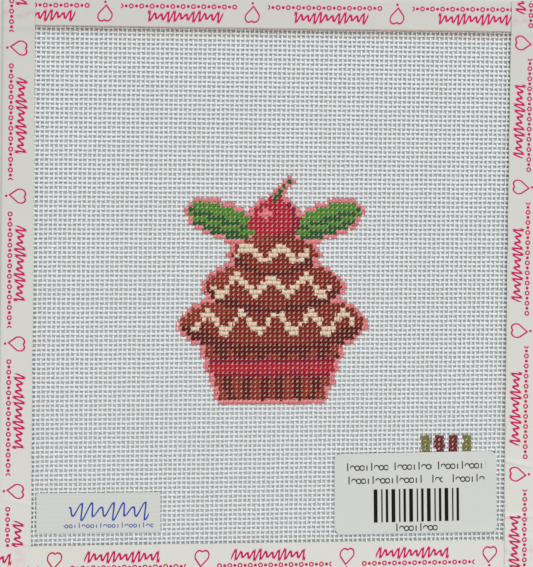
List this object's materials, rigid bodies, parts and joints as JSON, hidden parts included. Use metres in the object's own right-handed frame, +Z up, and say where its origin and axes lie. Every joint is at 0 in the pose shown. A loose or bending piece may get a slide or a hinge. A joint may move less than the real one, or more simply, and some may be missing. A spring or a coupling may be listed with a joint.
{
  "type": "needlepoint canvas",
  "caption": "Flat open-mesh canvas with a painted stitching design, its edges bound in folded tape, with stuck paper labels.",
  "frame": {"origin": "under the middle of the canvas, on the surface that it lies on", "axes": "+X to the right of the design, +Y towards its top edge, +Z up, out of the painted side"},
  "size_m": [0.1672, 0.1772, 0.0016],
  "materials": {
    "canvas": "sized cotton mesh, matte",
    "tape": "smooth woven binding tape, matte",
    "label_paper": "uncoated paper, matte"
  },
  "bodies": {
    "root": {"canvas": "canvas", "tape_top": "tape", "tape_left": "tape", "tape_bottom": "tape", "tape_right": "tape", "label_large": "label_paper", "label_small": "label_paper"}
  },
  "joints": []
}
